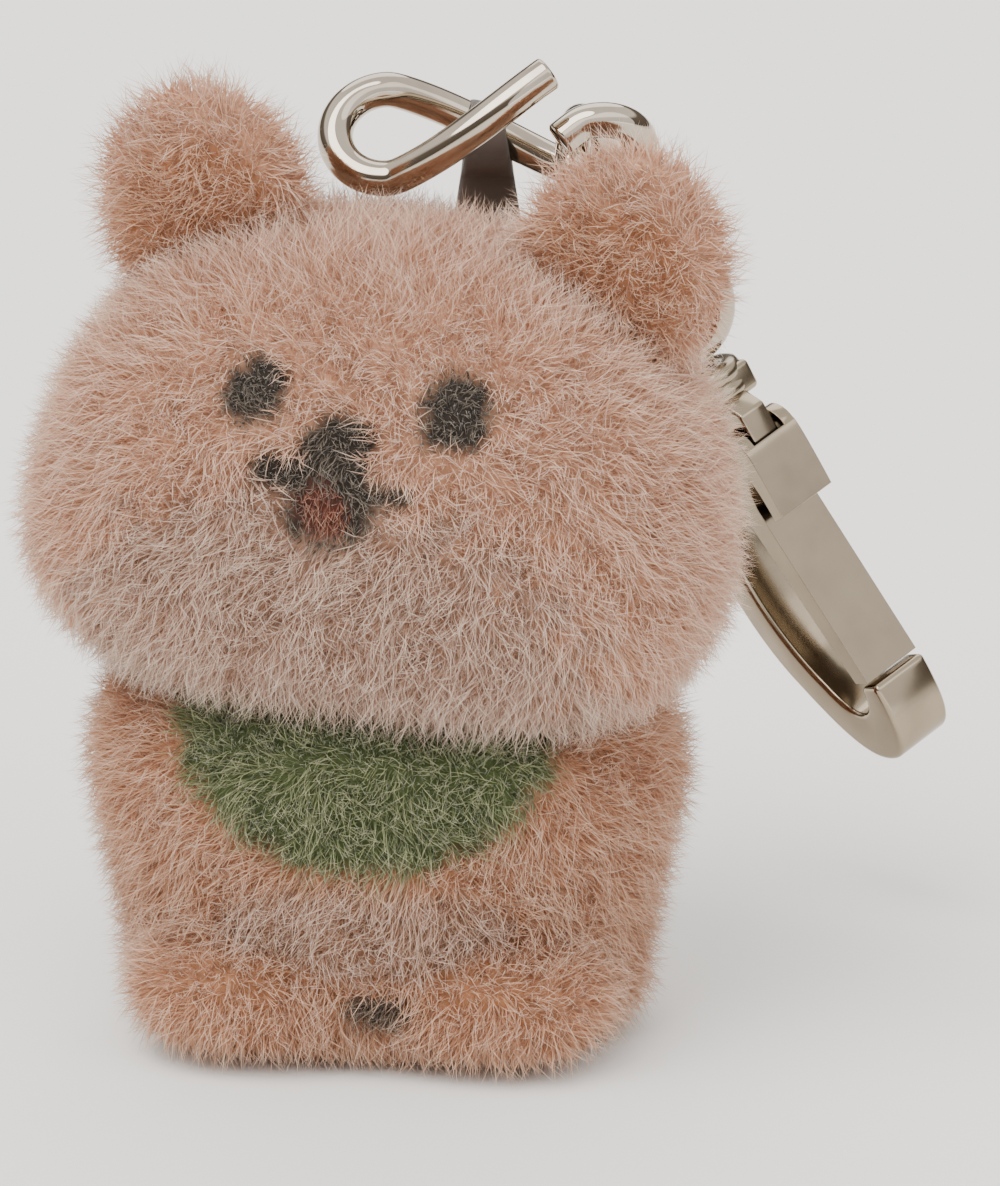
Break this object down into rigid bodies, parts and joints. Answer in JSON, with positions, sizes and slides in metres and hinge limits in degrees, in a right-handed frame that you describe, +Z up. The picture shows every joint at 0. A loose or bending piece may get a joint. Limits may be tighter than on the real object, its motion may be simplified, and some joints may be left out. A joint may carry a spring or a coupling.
{
  "type": "plush keychain",
  "caption": "Stuffed upright bear with long soft pile, a ribbon loop at the crown, a bent-open chain link, a connecting link and a swivel lobster clasp.",
  "frame": {"origin": "middle of the base panel, on the surface that the bear stands on", "axes": "+Z up, the bear faces -Y, and its left ear and the clasp are on the +X side"},
  "size_m": [0.0527, 0.0515, 0.0621],
  "materials": {
    "orange_pile": "long soft pile, orange at the root and pale at the tip",
    "stuffing": "white polyester fibre",
    "ribbon": "woven satin ribbon",
    "chain_metal": "polished nickel plate",
    "clasp_metal": "polished nickel plate",
    "spring_steel": "bright spring steel"
  },
  "bodies": {
    "plush": {"head_front_cover": "orange_pile", "head_back_cover": "orange_pile", "head_filling": "stuffing", "ear_left_front_cover": "orange_pile", "ear_left_back_cover": "orange_pile", "ear_left_filling": "stuffing", "ear_right_front_cover": "orange_pile", "ear_right_back_cover": "orange_pile", "ear_right_filling": "stuffing", "body_front_cover": "orange_pile", "body_back_cover": "orange_pile", "base_panel": "orange_pile", "body_filling": "stuffing", "hanging_loop": "ribbon"},
    "open_link": {"open_link": "chain_metal"},
    "connecting_link": {"connecting_link": "chain_metal"},
    "swivel_eye": {"swivel_eye": "clasp_metal"},
    "clasp": {"clasp_hook": "clasp_metal", "gate_pin": "spring_steel", "gate_spring": "spring_steel"},
    "gate": {"clasp_gate": "clasp_metal"}
  },
  "joints": [
    {"name": "link_turn", "type": "hinge", "parent": "plush", "child": "open_link", "pos_m": [0.00225, 0.01452, 0.05586], "axis": [0, 0, 1], "range_deg": [0, 40], "deforming": ["hanging_loop"]},
    {"name": "link_swing", "type": "hinge", "parent": "open_link", "child": "connecting_link", "pos_m": [0.00878, 0.01457, 0.05343], "axis": [0.955, 0.292, 0.0523], "range_deg": [0, 50]},
    {"name": "eye_swing", "type": "hinge", "parent": "connecting_link", "child": "swivel_eye", "pos_m": [0.00948, 0.02772, 0.04324], "axis": [0.186, -0.6083, -0.7716], "range_deg": [0, 45]},
    {"name": "clasp_swivel", "type": "hinge", "parent": "swivel_eye", "child": "clasp", "pos_m": [0.01299, 0.0267, 0.03728], "axis": [-0.4267, -0.1305, 0.8949], "continuous": true},
    {"name": "gate_hinge", "type": "hinge", "parent": "clasp", "child": "gate", "pos_m": [0.01735, 0.02589, 0.03299], "axis": [0.4944, 0.7949, 0.3516], "range_deg": [0, 12], "stiffness_Nm_per_rad": 0.02, "springref_deg": -8.59, "deforming": ["gate_spring"]}
  ]
}
